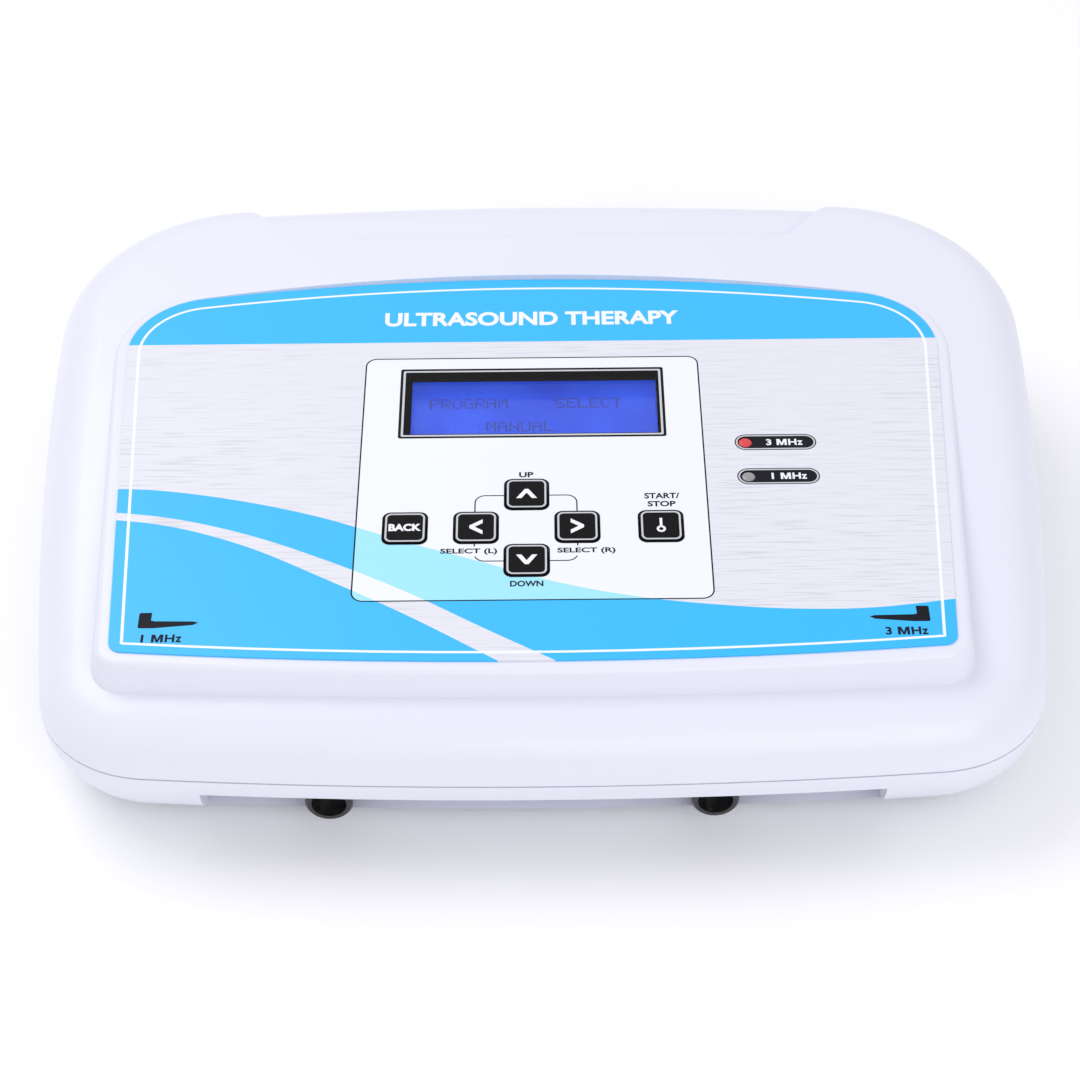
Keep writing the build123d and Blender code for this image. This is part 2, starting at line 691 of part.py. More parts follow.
with BuildPart() as tact_switches:
    with BuildSketch(panel.offset(BOARD_TOP)):
        with Locations(*KEYS.values()):
            Rectangle(6, 6)
    extrude(amount=SWITCH_TOP - BOARD_TOP)
finish(tact_switches.part, "tact_switches")

with BuildPart() as keypad_board:
    with BuildSketch(panel.offset(BOARD_TOP)):
        with Locations((0, -23)):
            Rectangle(96, 46)
        with Locations((65, 5)):
            Rectangle(16, 34)
        with Locations((53, -8)):
            Rectangle(20, 8)
    extrude(amount=-BOARD)
finish(keypad_board.part, "keypad_board")

for led_name, place in LEDS.items():
    with BuildPart() as led:
        with BuildSketch(panel.offset(BOARD_TOP)):
            with Locations(place):
                Circle(LED_R + 0.5)
        extrude(amount=1)
        with BuildSketch(panel.offset(BOARD_TOP)):
            with Locations(place):
                Circle(LED_R)
        extrude(amount=FILM + 0.2 - BOARD_TOP)
    finish(led.part, led_name)

with BuildPart() as display_board:
    with BuildSketch(panel.offset(MODULE_BASE)):
        with Locations(DISPLAY):
            Rectangle(*DISPLAY_BOARD)
            with GridLocations(*DISPLAY_BOARD_HOLES, 2, 2):
                Circle(1.6, mode=Mode.SUBTRACT)
        # Room for the keypad's switches.
        with Locations((DISPLAY[0], DISPLAY[1] - 24)):
            Rectangle(DISPLAY_BOARD[0] + 0.1, 12.1, mode=Mode.SUBTRACT)
    extrude(amount=-BOARD)
finish(display_board.part, "display_board")

with BuildPart() as display_bezel:
    with BuildSketch(panel.offset(MODULE_BASE)):
        with Locations(MODULE):
            Rectangle(*BEZEL_OUTSIDE)
    extrude(amount=BEZEL_TOP - MODULE_BASE)
    with BuildSketch(panel.offset(MODULE_BASE)):
        with Locations(MODULE):
            Rectangle(BEZEL_OUTSIDE[0] - 3, BEZEL_OUTSIDE[1] - 3)
    extrude(amount=BEZEL_TOP - BEZEL_SHEET - MODULE_BASE, mode=Mode.SUBTRACT)
    with BuildSketch(panel.offset(BEZEL_TOP - BEZEL_SHEET)):
        with Locations(MODULE):
            Rectangle(*MODULE_VIEW)
    extrude(amount=BEZEL_SHEET, mode=Mode.SUBTRACT)
finish(display_bezel.part, "display_bezel")

with BuildPart() as display_glass:
    with BuildSketch(panel.offset(GLASS_BASE)):
        with Locations(MODULE):
            Rectangle(*MODULE_GLASS)
    extrude(amount=GLASS)
finish(display_glass.part, "display_glass")

with BuildPart() as display_backlight:
    with BuildSketch(panel.offset(MODULE_BASE)):
        with Locations(MODULE):
            Rectangle(*MODULE_GLASS)
    extrude(amount=GLASS_BASE - MODULE_BASE - 0.2)
finish(display_backlight.part, "display_backlight")

# ---------------------------------------------------------------- electronics in the tray
FLOOR_Z = BASE_Z + WALL
BOARD_Z = FLOOR_Z + 8
MAIN_BOARD = (-38.0, back(122.0))
MAIN_BOARD_SIZE = (150.0, 130.0)
STANDOFFS = (142.0, 122.0)
with BuildPart() as board_standoffs:
    with BuildSketch(Plane.XY.offset(FLOOR_Z)):
        with Locations(MAIN_BOARD):
            with GridLocations(*STANDOFFS, 2, 2):
                RegularPolygon(3.2, 6)
                Circle(1.5, mode=Mode.SUBTRACT)
    extrude(amount=8)
finish(board_standoffs.part, "board_standoffs")

with BuildPart() as main_board:
    with BuildSketch(Plane.XY.offset(BOARD_Z)):
        with Locations(MAIN_BOARD):
            Rectangle(*MAIN_BOARD_SIZE)
            with GridLocations(*STANDOFFS, 2, 2):
                Circle(1.6, mode=Mode.SUBTRACT)
    extrude(amount=BOARD)
finish(main_board.part, "main_board")
CHIP_Z = BOARD_Z + BOARD

with BuildPart() as board_screws:
    with BuildSketch(Plane.XY.offset(CHIP_Z)):
        with Locations(MAIN_BOARD):
            with GridLocations(*STANDOFFS, 2, 2):
                Circle(2.8)
    extrude(amount=1.8)
    with BuildSketch(Plane.XY.offset(CHIP_Z)):
        with Locations(MAIN_BOARD):
            with GridLocations(*STANDOFFS, 2, 2):
                Circle(1.45)
    extrude(amount=-6)
finish(board_screws.part, "board_screws")

with BuildPart() as microcontroller:
    with BuildSketch(Plane.XY.offset(CHIP_Z + 1)):
        with Locations((-50, back(100))):
            Rectangle(52, 13.6)
    extrude(amount=3.6)
    with BuildSketch(Plane.XY.offset(CHIP_Z)):
        with Locations((-50, back(100))):
            with GridLocations(2.54, 15.24, 20, 2):
                Rectangle(0.6, 0.3)
    extrude(amount=3)
finish(microcontroller.part, "microcontroller")

with BuildPart() as crystal:
    with BuildSketch(Plane.XY.offset(CHIP_Z)):
        with Locations((-12, back(100))):
            SlotOverall(11, 4.6, rotation=90)
    extrude(amount=3.6)
finish(crystal.part, "crystal")

with BuildPart() as relays:
    with BuildSketch(Plane.XY.offset(CHIP_Z)):
        with Locations((-100, back(80)), (-100, back(102))):
            Rectangle(16, 19)
    extrude(amount=15.5)
    chamfer(edges().group_by(Axis.Z)[-1], 0.6)
finish(relays.part, "relays")

with BuildPart() as filter_capacitors:
    with BuildSketch(Plane.XY.offset(CHIP_Z)):
        with Locations((15, back(165)), (15, back(142)), (-6, back(165))):
            Circle(8)
    extrude(amount=22)
    fillet(edges().group_by(Axis.Z)[-1], 1)
finish(filter_capacitors.part, "filter_capacitors")

with BuildPart() as bridge_rectifier:
    with BuildSketch(Plane.XY.offset(CHIP_Z)):
        with Locations((-32, back(168))):
            Rectangle(20, 4)
    extrude(amount=15)
finish(bridge_rectifier.part, "bridge_rectifier")

with BuildPart() as output_coil:
    with BuildSketch(Plane.XY.offset(CHIP_Z)):
        with Locations((-78, back(140))):
            Circle(13)
            Circle(6, mode=Mode.SUBTRACT)
    extrude(amount=11)
    fillet(edges(), 2.5)
finish(output_coil.part, "output_coil")

with BuildPart() as buzzer:
    with BuildSketch(Plane.XY.offset(CHIP_Z)):
        with Locations((20, back(75))):
            Circle(6)
            Circle(1, mode=Mode.SUBTRACT)
    extrude(amount=8.5)
finish(buzzer.part, "buzzer")

TRANSFORMER = (84.0, back(150.0))
CORE_Z = FLOOR_Z + 1.5
CORE = (57.0, 19.0, 38.0)
core_front = Plane(
    origin=(TRANSFORMER[0], TRANSFORMER[1] - CORE[1] / 2, CORE_Z + CORE[2] / 2),
    x_dir=(1, 0, 0),
    z_dir=(0, -1, 0),
)
with BuildPart() as transformer_core:
    with BuildSketch(core_front):
        Rectangle(CORE[0], CORE[2])
        with GridLocations(28.5, 0, 2, 1):
            Rectangle(9.5, 28.5, mode=Mode.SUBTRACT)
    extrude(amount=-CORE[1])
finish(transformer_core.part, "transformer_core")

with BuildPart() as transformer_winding:
    with BuildSketch(Plane.XY.offset(CORE_Z + 5)):
        with Locations(TRANSFORMER):
            RectangleRounded(37.6, 37.0, 3)
            Rectangle(19.2, 19.2, mode=Mode.SUBTRACT)
    extrude(amount=28)
finish(transformer_winding.part, "transformer_winding")

with BuildPart() as transformer_bracket:
    with BuildSketch(Plane.XY.offset(FLOOR_Z)):
        with Locations(TRANSFORMER):
            RectangleRounded(76, 22, 3)
            with GridLocations(67, 0, 2, 1):
                Circle(1.8, mode=Mode.SUBTRACT)
    extrude(amount=1.5)
finish(transformer_bracket.part, "transformer_bracket")

with BuildPart() as ribbon_cable:
    # Flat cable folded between the keypad board and the main board.
    with BuildSketch(Plane(origin=(20, 0, 0), x_dir=(0, 1, 0), z_dir=(1, 0, 0))):
        with BuildLine():
            ribbon_path = Polyline(
                (back(88), CHIP_Z + 2), (back(88), CHIP_Z + 8), (back(76), CHIP_Z + 14), (back(76), 44)
            )
        trace(ribbon_path, line_width=1.0)
    extrude(amount=20)
finish(ribbon_cable.part, "ribbon_cable")

with BuildPart() as board_headers:
    with BuildSketch(Plane.XY.offset(CHIP_Z)):
        with Locations((30, back(88))):
            Rectangle(24, 5)
    extrude(amount=2)
finish(board_headers.part, "board_header")
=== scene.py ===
"""The ultrasound therapy device as it looks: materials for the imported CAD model, and
the printed panel, the keys, the display and the lamps as meshes of their own, in metres,
in the frame of the CAD model."""

import json
from math import cos, pi, radians, sin

import bmesh
import bpy
import numpy as np
from mathutils import Matrix, Vector
from mathutils.geometry import delaunay_2d_cdt


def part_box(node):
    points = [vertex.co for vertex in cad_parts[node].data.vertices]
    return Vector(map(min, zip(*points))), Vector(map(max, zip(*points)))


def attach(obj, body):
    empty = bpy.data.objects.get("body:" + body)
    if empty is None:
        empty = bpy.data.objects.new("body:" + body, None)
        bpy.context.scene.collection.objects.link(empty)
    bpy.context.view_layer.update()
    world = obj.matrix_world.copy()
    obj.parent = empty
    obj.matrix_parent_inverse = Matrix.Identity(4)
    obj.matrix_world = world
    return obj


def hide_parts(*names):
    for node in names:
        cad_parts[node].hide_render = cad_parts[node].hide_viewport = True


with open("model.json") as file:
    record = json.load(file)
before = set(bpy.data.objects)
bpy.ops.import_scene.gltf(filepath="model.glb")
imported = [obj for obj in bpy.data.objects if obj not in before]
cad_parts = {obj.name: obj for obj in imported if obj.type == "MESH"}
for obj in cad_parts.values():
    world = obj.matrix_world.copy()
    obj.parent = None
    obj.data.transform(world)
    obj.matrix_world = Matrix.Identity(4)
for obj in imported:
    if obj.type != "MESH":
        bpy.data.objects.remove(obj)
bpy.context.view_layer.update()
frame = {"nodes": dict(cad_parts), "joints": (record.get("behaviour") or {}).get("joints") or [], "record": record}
MM = 0.001
nodes = frame["nodes"]
scene = bpy.context.scene
joint_axis = {joint["name"]: Vector(joint["axis"]) for joint in frame["joints"]}

# ---------------------------------------------------------------- panel frame
FILM = 0.5  # mm, thickness of the printed film
FILM_FRONT = -76.0  # mm, lowest point of the film along the panel

panel_normal = -joint_axis["key_up_press"].normalized()
panel_across = Vector((1, 0, 0))
panel_up = panel_normal.cross(panel_across)
film_low, film_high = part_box("control_overlay")
panel_origin = Vector((
    (film_low.x + film_high.x) / 2,
    film_low.y - (FILM_FRONT * panel_up.y + FILM * panel_normal.y) * MM,
    film_low.z - FILM_FRONT * panel_up.z * MM,
))


def plane_frame(origin, across, up, normal):
    columns = Matrix((across, up, normal)).transposed()
    return Matrix.Translation(origin) @ columns.to_4x4()


panel_frame = plane_frame(panel_origin, panel_across, panel_up, panel_normal)


def to_panel(point):
    """Point of the model, in metres, as a point of the panel frame, in millimetres."""
    return (panel_frame.inverted() @ Vector(point)) / MM


# ---------------------------------------------------------------- materials
DRIFT_MM = 55
UNEVEN_GLOSS = 0.05
GRAIN_DEPTH = 0.1  # mm


def node_material(name):
    """Empty node material with its Principled shader."""
    material = bpy.data.materials.new(name)
    material.use_nodes = True
    return material, material.node_tree, material.node_tree.nodes["Principled BSDF"]


def mapped_noise(tree, size_mm, detail=2.0, stretch=(1, 1, 1)):
    """Noise in object space whose grains are about size_mm across, longer along each stretched axis."""
    place = tree.nodes.new("ShaderNodeTexCoord")
    mapping = tree.nodes.new("ShaderNodeMapping")
    mapping.inputs["Scale"].default_value = [1000 / size_mm / s for s in stretch]
    noise = tree.nodes.new("ShaderNodeTexNoise")
    noise.inputs["Scale"].default_value = 1.0
    noise.inputs["Detail"].default_value = detail
    tree.links.new(place.outputs["Object"], mapping.inputs["Vector"])
    tree.links.new(mapping.outputs["Vector"], noise.inputs["Vector"])
    return noise.outputs["Fac"]


def spread(tree, source, low, high, from_low=0.3, from_high=0.7):
    node = tree.nodes.new("ShaderNodeMapRange")
    node.inputs["From Min"].default_value = from_low
    node.inputs["From Max"].default_value = from_high
    node.inputs["To Min"].default_value = low
    node.inputs["To Max"].default_value = high
    tree.links.new(source, node.inputs["Value"])
    return node.outputs["Result"]


def mixed_color(tree, factor, first, second):
    node = tree.nodes.new("ShaderNodeMix")
    node.data_type = "RGBA"
    node.inputs["A"].default_value = (*first, 1)
    node.inputs["B"].default_value = (*second, 1)
    tree.links.new(factor, node.inputs["Factor"])
    return node.outputs["Result"]


def bumped(tree, shader, height, strength, distance_mm):
    node = tree.nodes.new("ShaderNodeBump")
    node.inputs["Strength"].default_value = strength
    node.inputs["Distance"].default_value = distance_mm * MM
    tree.links.new(height, node.inputs["Height"])
    tree.links.new(node.outputs["Normal"], shader.inputs["Normal"])


def surface(name, color, roughness, grain=0.05, grain_mm=0.5, shade=0.04, metallic=0.0,
            stretch=(1, 1, 1), **sockets):
    """Moulded, painted or metal surface: a faint colour drift, uneven gloss and a fine grain."""
    material, tree, shader = node_material(name)
    drift = mapped_noise(tree, DRIFT_MM, 3.0)
    fine = mapped_noise(tree, grain_mm, 2.0, stretch)
    dark = [c * (1 - shade) for c in color]
    tree.links.new(mixed_color(tree, drift, dark, color), shader.inputs["Base Color"])
    gloss = spread(tree, fine, max(roughness - UNEVEN_GLOSS, 0.02), min(roughness + UNEVEN_GLOSS, 1.0))
    tree.links.new(gloss, shader.inputs["Roughness"])
    bumped(tree, shader, fine, grain, GRAIN_DEPTH)
    shader.inputs["Metallic"].default_value = metallic
    for socket, value in sockets.items():
        shader.inputs[socket.replace("_", " ")].default_value = value
    return material


def brushed_print(name, light, dark):
    """Printed brushed-metal pattern: long faint dashes across the panel."""
    material, tree, shader = node_material(name)
    long_dash = mapped_noise(tree, 0.7, 1.5, (24, 1, 1000))
    cloud = mapped_noise(tree, 70, 2.0)
    dash = spread(tree, long_dash, 0.0, 1.0, 0.52, 0.72)
    patch = spread(tree, cloud, 0.25, 1.0, 0.35, 0.62)
    both = tree.nodes.new("ShaderNodeMath")
    both.operation = "MULTIPLY"
    tree.links.new(dash, both.inputs[0])
    tree.links.new(patch, both.inputs[1])
    tree.links.new(mixed_color(tree, both.outputs["Value"], light, dark), shader.inputs["Base Color"])
    tree.links.new(spread(tree, cloud, 0.3, 0.4), shader.inputs["Roughness"])
    bumped(tree, shader, mapped_noise(tree, 0.35), 0.04, 0.05)
    return material


def glowing_display(name):
    """Backlit blue liquid crystal, a little uneven."""
    material, tree, shader = node_material(name)
    cloud = mapped_noise(tree, 30, 2.0)
    blue = mixed_color(tree, spread(tree, cloud, 0, 1), (0.008, 0.040, 0.46), (0.016, 0.075, 0.62))
    tree.links.new(blue, shader.inputs["Base Color"])
    tree.links.new(blue, shader.inputs["Emission Color"])
    shader.inputs["Emission Strength"].default_value = 0.85
    tree.links.new(spread(tree, cloud, 0.2, 0.3), shader.inputs["Roughness"])
    bumped(tree, shader, mapped_noise(tree, 0.3), 0.05, 0.03)
    return material


def clear_plastic(name, tint, roughness):
    material, tree, shader = node_material(name)
    haze = mapped_noise(tree, 12, 3.0)
    brighter = [min(c * 1.06, 1) for c in tint]
    tree.links.new(mixed_color(tree, haze, tint, brighter), shader.inputs["Base Color"])
    tree.links.new(spread(tree, haze, roughness, roughness + 0.03), shader.inputs["Roughness"])
    shader.inputs["Transmission Weight"].default_value = 1.0
    shader.inputs["IOR"].default_value = 1.3
    return material


WHITE = (0.79, 0.80, 0.89)
BLACK = (0.012, 0.012, 0.014)
METAL = (0.66, 0.66, 0.68)
BRASS = (0.80, 0.60, 0.28)
slot_materials = {
    "case_white": surface("case_white", WHITE, 0.36, grain=0.05, grain_mm=0.7, shade=0.015, Coat_Weight=0.15),
    "panel_white": surface("panel_white", (0.72, 0.72, 0.78), 0.5, grain=0.12, grain_mm=0.6),
    "screw_steel": surface("screw_steel", METAL, 0.3, grain=0.1, grain_mm=0.2, metallic=1.0),
    "rubber_black": surface("rubber_black", (0.025, 0.025, 0.027), 0.8, grain=0.35, grain_mm=0.4),
    "socket_black": surface("socket_black", BLACK, 0.22, grain=0.03, grain_mm=0.6, Coat_Weight=0.4),
    "contact_brass": surface("contact_brass", BRASS, 0.25, grain=0.06, grain_mm=0.2, metallic=1.0),
    "nut_nickel": surface("nut_nickel", (0.70, 0.69, 0.66), 0.25, grain=0.05, grain_mm=0.2, metallic=1.0),
    "inlet_black": surface("inlet_black", (0.022, 0.022, 0.024), 0.48, grain=0.25, grain_mm=0.5),
    "rocker_black": surface("rocker_black", (0.014, 0.014, 0.016), 0.25, grain=0.05, grain_mm=0.5),
    "fuse_glass": clear_plastic("fuse_glass", (0.86, 0.92, 0.92), 0.03),
    "sink_black": surface("sink_black", (0.02, 0.02, 0.022), 0.42, grain=0.15, grain_mm=0.3,
                          stretch=(1, 1, 20), metallic=0.6),
    "chip_black": surface("chip_black", (0.02, 0.02, 0.022), 0.55, grain=0.2, grain_mm=0.3),
    "window_clear": clear_plastic("window_clear", (0.93, 0.95, 1.0), 0.02),
    "key_black": surface("key_black", (0.003, 0.003, 0.0035), 0.45, grain=0.06, grain_mm=0.35,
                         Specular_IOR_Level=0.12),
    "board_green": surface("board_green", (0.02, 0.16, 0.06), 0.4, grain=0.15, grain_mm=0.8),
    "lamp_red": surface("lamp_red", (0.62, 0.05, 0.05), 0.25, grain=0.04, grain_mm=0.4,
                        Emission_Color=(0.6, 0.05, 0.05, 1), Emission_Strength=0.15),
    "lamp_clear": surface("lamp_clear", (0.30, 0.30, 0.31), 0.25, grain=0.04, grain_mm=0.4, Coat_Weight=0.5),
    "bezel_black": surface("bezel_black", (0.003, 0.003, 0.0035), 0.5, grain=0.1, grain_mm=0.4,
                           Specular_IOR_Level=0.12),
    "display_blue": glowing_display("display_blue"),
    "backlight_white": surface("backlight_white", (0.8, 0.82, 0.88), 0.5, grain=0.1),
    "standoff_brass": surface("standoff_brass", BRASS, 0.3, grain=0.08, grain_mm=0.2, metallic=1.0),
    "crystal_steel": surface("crystal_steel", METAL, 0.25, grain=0.05, grain_mm=0.2, metallic=1.0),
    "relay_blue": surface("relay_blue", (0.04, 0.14, 0.5), 0.35, grain=0.1),
    "capacitor_sleeve": surface("capacitor_sleeve", (0.02, 0.02, 0.06), 0.3, grain=0.05),
    "coil_ferrite": surface("coil_ferrite", (0.42, 0.2, 0.08), 0.4, grain=0.3, grain_mm=0.5),
    "core_steel": surface("core_steel", (0.2, 0.2, 0.21), 0.45, grain=0.2, grain_mm=0.35,
                          stretch=(1, 1, 30), metallic=0.8),
    "winding_tape": surface("winding_tape", (0.65, 0.55, 0.12), 0.35, grain=0.1, grain_mm=1.0),
    "bracket_steel": surface("bracket_steel", METAL, 0.35, grain=0.1, grain_mm=0.3, metallic=1.0),
    "ribbon_grey": surface("ribbon_grey", (0.5, 0.51, 0.55), 0.5, grain=0.5, grain_mm=0.6,
                           stretch=(1, 30, 30)),
    "header_white": surface("header_white", (0.8, 0.78, 0.72), 0.5, grain=0.1),
}
CYAN = (0.028, 0.50, 0.96)
INK = (0.006, 0.007, 0.012)
film_brushed = brushed_print("film_brushed", (0.77, 0.77, 0.84), (0.60, 0.60, 0.66))
film_cyan = surface("film_cyan", CYAN, 0.34, grain=0.04, grain_mm=0.35, shade=0.03)
film_line = surface("film_line", (0.90, 0.93, 0.96), 0.36, grain=0.04, grain_mm=0.35, shade=0.01)
film_panel = surface("film_panel", (0.86, 0.88, 0.93), 0.36, grain=0.04, grain_mm=0.35, shade=0.01)
film_pale = surface("film_pale", (0.36, 0.80, 0.95), 0.34, grain=0.04, grain_mm=0.35, shade=0.03)
film_ink = surface("film_ink", INK, 0.45, grain=0.04, grain_mm=0.35, Specular_IOR_Level=0.15)
film_silver = surface("film_silver", (0.60, 0.61, 0.64), 0.35, grain=0.05, grain_mm=0.35)
print_white = surface("print_white", (0.88, 0.90, 0.93), 0.4, grain=0.04, grain_mm=0.35, shade=0.01)
print_dark = surface("print_dark", (0.01, 0.012, 0.03), 0.5, grain=0.04, grain_mm=0.35,
                     Specular_IOR_Level=0.15)
dot_dark = surface("dot_dark", (0.02, 0.03, 0.22), 0.4, grain=0.04, Emission_Color=(0.02, 0.03, 0.24, 1),
                   Emission_Strength=0.55)

for row in frame["record"]["subparts"]:
    part = nodes[row["node"]]
    part.data.materials.clear()
    part.data.materials.append(slot_materials.get(row["material_slot"], film_brushed))


# ---------------------------------------------------------------- meshes from flat outlines
def new_piece(name, points, faces, materials, picks, body, replaced=()):
    """Piece in the frame of the model that rides on a body; picks gives each face's material."""
    mesh = bpy.data.meshes.new(name)
    mesh.from_pydata([tuple(p) for p in points], [], faces)
    for material in materials:
        mesh.materials.append(material)
    mesh.polygons.foreach_set("material_index", picks)
    mesh.validate()
    mesh.update()
    piece = bpy.data.objects.new(name, mesh)
    scene.collection.objects.link(piece)
    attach(piece, body)
    if replaced:
        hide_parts(*replaced)
    return piece


def slab(flat, faces, picks, low, high):
    """Closed sheet between two heights from flat faces; walls and underside keep each face's material."""
    count = len(flat)
    owners = {}
    for number, face in enumerate(faces):
        for a, b in zip(face, [*face[1:], face[0]]):
            owners[(a, b)] = number
    points = [(x, y, high) for x, y in flat] + [(x, y, low) for x, y in flat]
    solid = [tuple(f) for f in faces] + [tuple(i + count for i in reversed(f)) for f in faces]
    picked = [*picks, *picks]
    for (a, b), owner in owners.items():
        if (b, a) not in owners:
            solid.append((b, a, a + count, b + count))
            picked.append(picks[owner])
    return points, solid, picked


def join(parts):
    """Several (points, faces, picks) as one."""
    points, faces, picks = [], [], []
    for more_points, more_faces, more_picks in parts:
        start = len(points)
        points += list(more_points)
        faces += [tuple(i + start for i in face) for face in more_faces]
        picks += list(more_picks)
    return points, faces, picks


def inside(polygon, xy):
    """Whether each point lies in the closed polygon."""
    polygon = np.asarray(polygon, float)
    xy = np.asarray(xy, float)
    result = np.zeros(len(xy), bool)
    for (x0, y0), (x1, y1) in zip(polygon, np.roll(polygon, -1, axis=0)):
        if y0 == y1:
            continue
        crosses = (y0 > xy[:, 1]) != (y1 > xy[:, 1])
        at = x0 + (xy[:, 1] - y0) * (x1 - x0) / (y1 - y0)
        result ^= crosses & (xy[:, 0] < at)
    return result


def divide(loops, lines=()):
    """Triangles between all the closed loops and open lines, with their middles."""
    points, edges = [], []
    for closed, group in ((True, loops), (False, lines)):
        for loop in group:
            start = len(points)
            points += [Vector((float(x), float(y))) for x, y in loop]
            edges += [(start + i, start + i + 1) for i in range(len(loop) - 1)]
            if closed:
                edges.append((start + len(loop) - 1, start))
    flat, _, faces, *_ = delaunay_2d_cdt(points, edges, [], 0, 1e-5)
    flat = [tuple(p) for p in flat]
    corner = np.array(flat)[np.array(faces)]
    first, second = corner[:, 1] - corner[:, 0], corner[:, 2] - corner[:, 0]
    area = first[:, 0] * second[:, 1] - first[:, 1] * second[:, 0]
    faces = [tuple(f) if a > 0 else tuple(reversed(f)) for f, a in zip(faces, area)]
    return flat, faces, corner.mean(axis=1)


def keep(flat, faces, wanted):
    """The wanted faces, with only the points that they use."""
    faces = [f for f, w in zip(faces, wanted) if w]
    used = sorted({i for f in faces for i in f})
    order = {old: new for new, old in enumerate(used)}
    return [flat[i] for i in used], [tuple(order[i] for i in f) for f in faces]


def filled(outer, holes=()):
    """Flat faces of one outline with holes."""
    flat, faces, middles = divide([outer, *holes])
    wanted = inside(outer, middles)
    for hole in holes:
        wanted &= ~inside(hole, middles)
    return keep(flat, faces, wanted)


def rounded(centre, half_width, half_height, radius, steps=8):
    """Rectangle with rounded corners, anticlockwise."""
    points = []
    for turn, (sx, sy) in enumerate(((1, 1), (-1, 1), (-1, -1), (1, -1))):
        for step in range(steps + 1):
            angle = pi / 2 * (turn + step / steps)
            points.append((
                centre[0] + sx * (half_width - radius) + radius * cos(angle),
                centre[1] + sy * (half_height - radius) + radius * sin(angle),
            ))
    return points


def circle(centre, radius, steps=40):
    return [(centre[0] + radius * cos(2 * pi * i / steps), centre[1] + radius * sin(2 * pi * i / steps))
            for i in range(steps)]


def smooth_line(points, steps=10):
    """Catmull-Rom curve through a few points."""
    points = np.asarray(points, float)
    ends = [2 * points[0] - points[1], *points, 2 * points[-1] - points[-2]]
    line = []
    for a, b, c, d in zip(ends, ends[1:], ends[2:], ends[3:]):
        for t in np.arange(steps) / steps:
            line.append(0.5 * (2 * b + (c - a) * t + (2 * a - 5 * b + 4 * c - d) * t**2
                               + (3 * b - a - 3 * c + d) * t**3))
    return [*line, points[-1]]


def shrunk(loop, front, side, rear):
    """Convex anticlockwise loop moved inwards by a margin that depends on the way each stretch faces."""
    loop = np.asarray(loop, float)
    ahead = np.roll(loop, -1, axis=0) - loop
    ahead /= np.linalg.norm(ahead, axis=1)[:, None]
    along = ahead + np.roll(ahead, 1, axis=0)
    along /= np.linalg.norm(along, axis=1)[:, None]
    inwards = np.column_stack((-along[:, 1], along[:, 0]))
    lengthwise = np.where(inwards[:, 1] > 0, front, rear)
    margin = side * inwards[:, 0] ** 2 + lengthwise * inwards[:, 1] ** 2
    return [tuple(p) for p in loop + margin[:, None] * inwards]


def cad_loops(node, height):
    """Edge loops of a CAD node's flat top, in the panel frame, largest first."""
    mesh = nodes[node].data
    spots, numbers, flat_edges = {}, [], {}
    for vertex in mesh.vertices:
        p = to_panel(vertex.co)
        key = tuple(round(c, 3) for c in p)
        numbers.append(spots.setdefault(key, len(spots)))
    places = list(spots)
    for face in mesh.polygons:
        ring = [numbers[i] for i in face.vertices]
        if all(abs(places[i][2] - height) < 0.02 for i in ring):
            for a, b in zip(ring, [*ring[1:], ring[0]]):
                flat_edges[(a, b)] = True
    following = {a: b for a, b in flat_edges if (b, a) not in flat_edges}
    loops = []
    while following:
        start, at = next(iter(following.items()))
        loop = [start]
        del following[start]
        while at != start:
            loop.append(at)
            at = following.pop(at)
        loops.append([places[i][:2] for i in loop])
    return sorted(loops, key=lambda l: -np.ptp(np.array(l)[:, 0]))


# ---------------------------------------------------------------- lettering
def lettering(words, centre, width, height, bold=0.0):
    """Flat faces of words fitted to a box given by its centre, width and height."""
    data = bpy.data.curves.new("words", "FONT")
    data.body = words
    data.offset = bold
    data.resolution_u = 4
    text = bpy.data.objects.new("words", data)
    scene.collection.objects.link(text)
    bpy.context.view_layer.update()
    mesh = bpy.data.meshes.new_from_object(text.evaluated_get(bpy.context.evaluated_depsgraph_get()))
    work = bmesh.new()
    work.from_mesh(mesh)
    bmesh.ops.remove_doubles(work, verts=work.verts, dist=1e-5)
    work.verts.index_update()
    flat = np.array([v.co[:2] for v in work.verts])
    faces = []
    for face in work.faces:
        ring = [v.index for v in face.verts]
        corner = flat[ring]
        turn = np.roll(corner, -1, axis=0)
        area = (corner[:, 0] * turn[:, 1] - corner[:, 1] * turn[:, 0]).sum()
        if abs(area) > 1e-9:
            faces.append(tuple(ring) if area > 0 else tuple(reversed(ring)))
    work.free()
    bpy.data.objects.remove(text)
    bpy.data.meshes.remove(mesh)
    low, high = flat.min(axis=0), flat.max(axis=0)
    flat = (flat - (low + high) / 2) * [width / (high[0] - low[0]), height / (high[1] - low[1])] + centre
    return [tuple(p) for p in flat], faces


LETTER_M = ((0, 0), (0.23, 0), (0.23, 0.6), (0.41, 0), (0.59, 0), (0.77, 0.6), (0.77, 0), (1, 0),
            (1, 1), (0.70, 1), (0.5, 0.35), (0.30, 1), (0, 1))


def megahertz(digit, centre, width, height, bold):
    """The digit, an M from listed points in place of the font's M, whose own outline fills badly, and the rest of
    the unit.
    """
    left = centre[0] - width / 2
    low = centre[1] - height / 2
    letter = [(left + width * (0.31 + 0.27 * x), low + height * y) for x, y in LETTER_M]
    digit_width = 0.06 if digit == "1" else 0.14
    return [
        lettering(digit, (left + width * 0.10, centre[1]), width * digit_width, height, bold),
        filled(letter),
        lettering("H", (left + width * 0.73, centre[1]), width * 0.22, height, bold),
        lettering("z", (left + width * 0.93, centre[1] - height * 0.13), width * 0.14, height * 0.74, bold),
    ]


